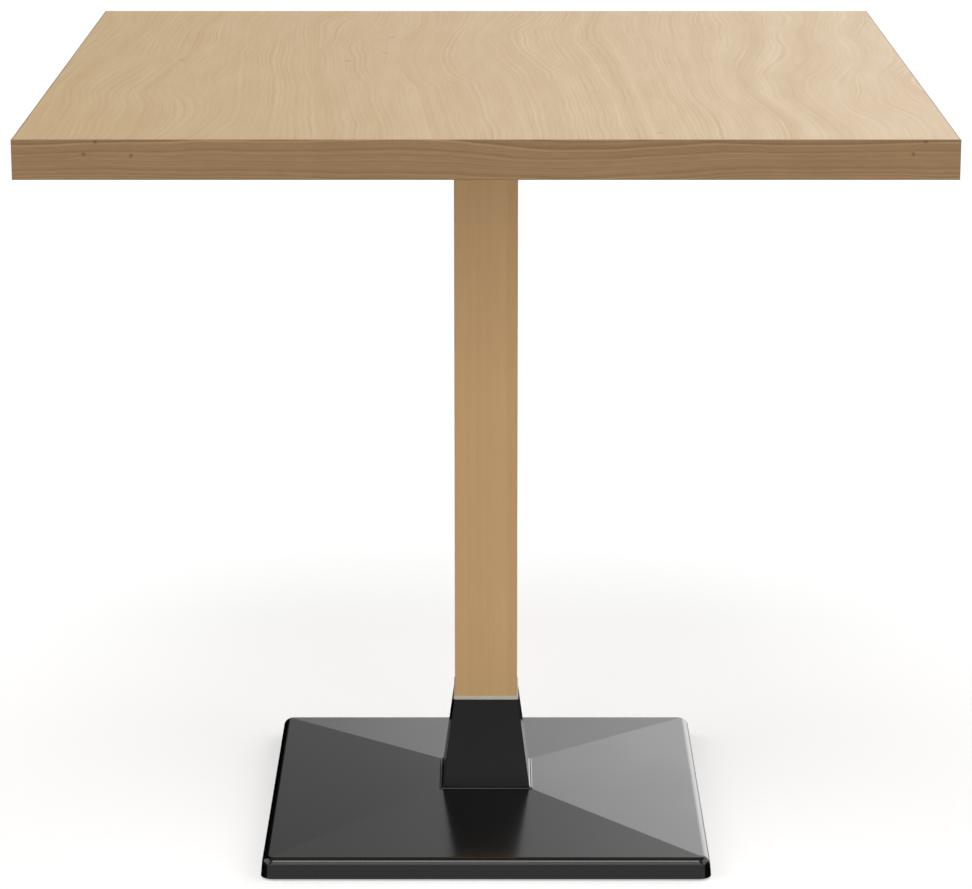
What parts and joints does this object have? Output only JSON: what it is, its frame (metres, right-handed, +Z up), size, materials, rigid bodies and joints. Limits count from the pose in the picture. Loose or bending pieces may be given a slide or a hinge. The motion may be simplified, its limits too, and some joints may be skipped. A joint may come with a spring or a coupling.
{
  "type": "bistro table",
  "caption": "Square wood-veneered table top on a square wooden post, with a tapered black boot and a low black pyramid base on levelling glides.",
  "frame": {"origin": "on the floor under the middle of the top", "axes": "+Z up; +X to the right and -Y to the front, along the sides of the top"},
  "size_m": [0.8, 0.8, 0.737],
  "materials": {
    "face_veneer": "satin clear lacquer, figured grain front to back",
    "edge_band": "satin clear lacquer, grain along the strip",
    "core_board": "raw particle board",
    "backing_veneer": "plain sealed veneer",
    "post_wood": "satin clear lacquer, straight fine grain",
    "collar_plastic": "satin light grey",
    "black_casting": "semi-gloss black powder coat",
    "zinc_plated_steel": "bright zinc plating",
    "nylon": "moulded black nylon"
  },
  "bodies": {
    "table": {"tabletop_core": "core_board", "tabletop_face_veneer": "face_veneer", "tabletop_backing_veneer": "backing_veneer", "edge_band_front": "edge_band", "edge_band_right": "edge_band", "edge_band_rear": "edge_band", "edge_band_left": "edge_band", "threaded_inserts": "zinc_plated_steel", "top_spider": "black_casting", "spider_screws": "zinc_plated_steel", "post": "post_wood", "collar": "collar_plastic", "tie_rod": "zinc_plated_steel", "tie_rod_upper_washer": "zinc_plated_steel", "tie_rod_upper_nut": "zinc_plated_steel", "tie_rod_lower_washer": "zinc_plated_steel", "tie_rod_lower_nut": "zinc_plated_steel", "boot": "black_casting", "boot_screws": "zinc_plated_steel", "boot_washers": "zinc_plated_steel", "base_casting": "black_casting"},
    "pad_front_left": {"glide_pad_front_left": "nylon"},
    "stem_front_left": {"glide_stem_front_left": "zinc_plated_steel"},
    "pad_front_right": {"glide_pad_front_right": "nylon"},
    "stem_front_right": {"glide_stem_front_right": "zinc_plated_steel"},
    "pad_rear_right": {"glide_pad_rear_right": "nylon"},
    "stem_rear_right": {"glide_stem_rear_right": "zinc_plated_steel"},
    "pad_rear_left": {"glide_pad_rear_left": "nylon"},
    "stem_rear_left": {"glide_stem_rear_left": "zinc_plated_steel"}
  },
  "joints": [
    {"name": "glide_travel_front_left", "type": "slide", "parent": "table", "child": "pad_front_left", "axis": [0, 0, -1], "range_m": [-0.0015, 0.005]},
    {"name": "glide_screw_front_left", "type": "hinge", "parent": "pad_front_left", "child": "stem_front_left", "pos_m": [-0.16, -0.16, 0], "axis": [0, 0, -1], "range_deg": [-432, 1440]},
    {"name": "glide_travel_front_right", "type": "slide", "parent": "table", "child": "pad_front_right", "axis": [0, 0, -1], "range_m": [-0.0015, 0.005]},
    {"name": "glide_screw_front_right", "type": "hinge", "parent": "pad_front_right", "child": "stem_front_right", "pos_m": [0.16, -0.16, 0], "axis": [0, 0, -1], "range_deg": [-432, 1440]},
    {"name": "glide_travel_rear_right", "type": "slide", "parent": "table", "child": "pad_rear_right", "axis": [0, 0, -1], "range_m": [-0.0015, 0.005]},
    {"name": "glide_screw_rear_right", "type": "hinge", "parent": "pad_rear_right", "child": "stem_rear_right", "pos_m": [0.16, 0.16, 0], "axis": [0, 0, -1], "range_deg": [-432, 1440]},
    {"name": "glide_travel_rear_left", "type": "slide", "parent": "table", "child": "pad_rear_left", "axis": [0, 0, -1], "range_m": [-0.0015, 0.005]},
    {"name": "glide_screw_rear_left", "type": "hinge", "parent": "pad_rear_left", "child": "stem_rear_left", "pos_m": [-0.16, 0.16, 0], "axis": [0, 0, -1], "range_deg": [-432, 1440]}
  ],
  "couplings": [
    {"joint": "glide_travel_front_left", "follows": "glide_screw_front_left", "m_per_rad": 0.00019894},
    {"joint": "glide_travel_front_right", "follows": "glide_screw_front_right", "m_per_rad": 0.00019894},
    {"joint": "glide_travel_rear_right", "follows": "glide_screw_rear_right", "m_per_rad": 0.00019894},
    {"joint": "glide_travel_rear_left", "follows": "glide_screw_rear_left", "m_per_rad": 0.00019894}
  ]
}
